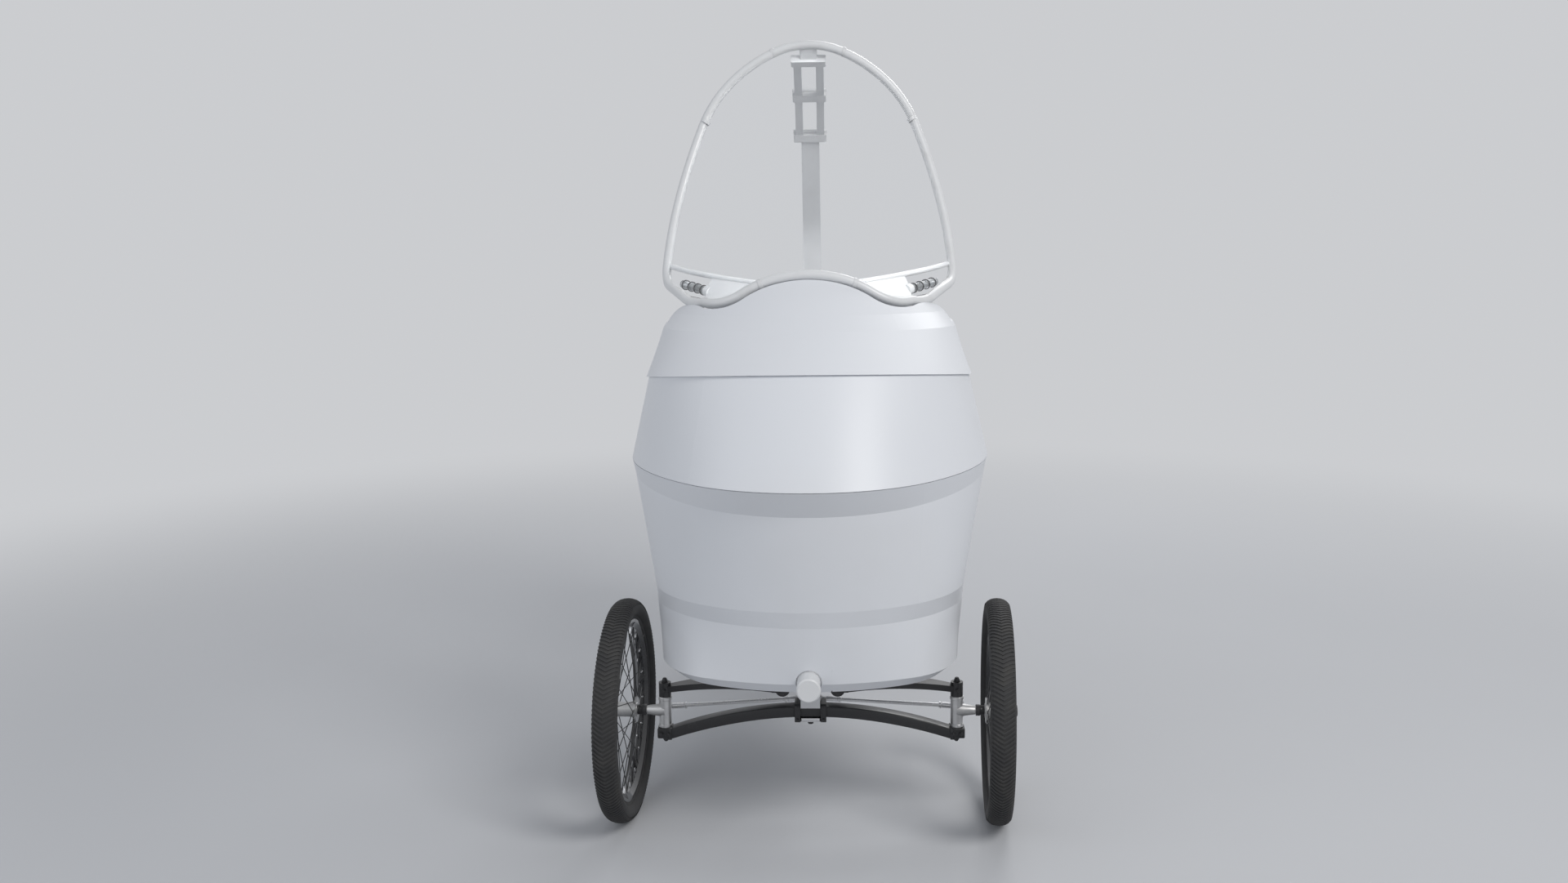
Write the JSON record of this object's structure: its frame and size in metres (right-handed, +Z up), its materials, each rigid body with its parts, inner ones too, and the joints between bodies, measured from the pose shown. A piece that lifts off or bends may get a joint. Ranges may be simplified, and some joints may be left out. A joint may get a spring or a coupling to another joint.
{
  "type": "electric tricycle",
  "caption": "Light electric tricycle with two steered front wheels, spoked, a creased white fairing, a clear bubble windshield in a tube frame and a roof spine behind an open-sided seat.",
  "frame": {"origin": "on the floor below the middle of the whole tricycle", "axes": "+Z up, nose towards -Y, +X to the rider's left"},
  "size_m": [0.9408, 1.806, 1.811],
  "materials": {
    "white_shell": "gloss white",
    "white_tube": "satin white",
    "grey_frame": "matte light grey",
    "alloy": "machined",
    "steel": "bright",
    "black_metal": "satin black",
    "black_rim": "gloss black",
    "tyre": "matte black",
    "clear": "clear",
    "lamp_clear": "ribbed clear",
    "seat_fabric": "woven dark grey",
    "grip_rubber": "matte",
    "chain_steel": "oiled dark"
  },
  "bodies": {
    "frame": {"arm_pivots": "black_metal", "back_cushion": "seat_fabric", "battery_box": "black_metal", "chain": "chain_steel", "dash_corners": "white_tube", "dash_lamps": "lamp_clear", "fairing_cowl": "white_shell", "fairing_hoop": "grey_frame", "fairing_lower": "white_shell", "fairing_upper": "white_shell", "leaf_spring": "black_metal", "main_tube": "grey_frame", "mast": "grey_frame", "nose_bracket": "grey_frame", "nose_cap": "grey_frame", "rear_fork": "grey_frame", "rear_mudguard": "white_shell", "rear_shell": "white_shell", "roof_blocks": "grey_frame", "roof_rails": "grey_frame", "seat_cushion": "seat_fabric", "seat_frame": "black_metal", "seat_posts": "grey_frame", "shell_brackets": "grey_frame", "spring_clamps": "black_metal", "upper_arm_left": "black_metal", "upper_arm_right": "black_metal", "windshield_frame": "white_tube", "windshield_pane": "clear"},
    "steering": {"steering_column": "black_metal", "grips": "grip_rubber"},
    "knuckle_left": {"knuckle_left": "alloy"},
    "knuckle_right": {"knuckle_right": "alloy"},
    "tie_rod_left": {"tie_rod_left": "steel"},
    "tie_rod_right": {"tie_rod_right": "steel"},
    "wheel_left": {"tyre_front_left": "tyre", "rim_front_left": "black_rim", "hub_front_left": "black_metal"},
    "wheel_right": {"tyre_front_right": "tyre", "rim_front_right": "black_rim", "hub_front_right": "black_metal"},
    "wheel_rear": {"tyre_rear": "tyre", "rim_rear": "black_rim", "hub_rear": "black_metal"},
    "crankset": {"crankset": "black_metal"},
    "pedal_left": {"pedal_left": "black_metal"},
    "pedal_right": {"pedal_right": "black_metal"}
  },
  "joints": [
    {"name": "steer", "type": "hinge", "parent": "frame", "child": "steering", "pos_m": [0, -0.541, 0.3], "axis": [0, 0, 1], "range_deg": [-21.6, 28.4]},
    {"name": "knuckle_left_steer", "type": "hinge", "parent": "frame", "child": "knuckle_left", "pos_m": [0.333, -0.601, 0.254], "axis": [0, 0, 1], "range_deg": [-22.1, 28.9]},
    {"name": "tie_rod_left_swing", "type": "hinge", "parent": "steering", "child": "tie_rod_left", "pos_m": [0.01783, -0.47695, 0.2393], "axis": [0, 0, 1], "range_deg": [-28.9, 22.1]},
    {"name": "wheel_left_spin", "type": "hinge", "parent": "knuckle_left", "child": "wheel_left", "pos_m": [0.42484, -0.60646, 0.254], "axis": [-0.9982, 0.0593, 0], "continuous": true},
    {"name": "knuckle_right_steer", "type": "hinge", "parent": "frame", "child": "knuckle_right", "pos_m": [-0.333, -0.601, 0.254], "axis": [0, 0, 1], "range_deg": [-22.1, 28.9]},
    {"name": "tie_rod_right_swing", "type": "hinge", "parent": "steering", "child": "tie_rod_right", "pos_m": [-0.01012, -0.47528, 0.2393], "axis": [0, 0, 1], "range_deg": [-28.9, 22.1]},
    {"name": "wheel_right_spin", "type": "hinge", "parent": "knuckle_right", "child": "wheel_right", "pos_m": [-0.42484, -0.59554, 0.254], "axis": [-0.9982, 0.0593, 0], "continuous": true},
    {"name": "wheel_rear_spin", "type": "hinge", "parent": "frame", "child": "wheel_rear", "pos_m": [0, 0.649, 0.254], "axis": [-1, 0, 0], "continuous": true},
    {"name": "crank_spin", "type": "hinge", "parent": "frame", "child": "crankset", "pos_m": [0, -0.231, 0.42], "axis": [-1, 0, 0], "continuous": true},
    {"name": "pedal_left_spin", "type": "hinge", "parent": "crankset", "child": "pedal_left", "pos_m": [0.122, -0.076, 0.42], "axis": [1, 0, 0], "continuous": true},
    {"name": "pedal_right_spin", "type": "hinge", "parent": "crankset", "child": "pedal_right", "pos_m": [-0.122, -0.386, 0.42], "axis": [1, 0, 0], "continuous": true}
  ],
  "couplings": [
    {"joint": "knuckle_left_steer", "follows": "steer", "ratio": 1},
    {"joint": "tie_rod_left_swing", "follows": "steer", "ratio": -1},
    {"joint": "knuckle_right_steer", "follows": "steer", "ratio": 1},
    {"joint": "tie_rod_right_swing", "follows": "steer", "ratio": -1}
  ]
}
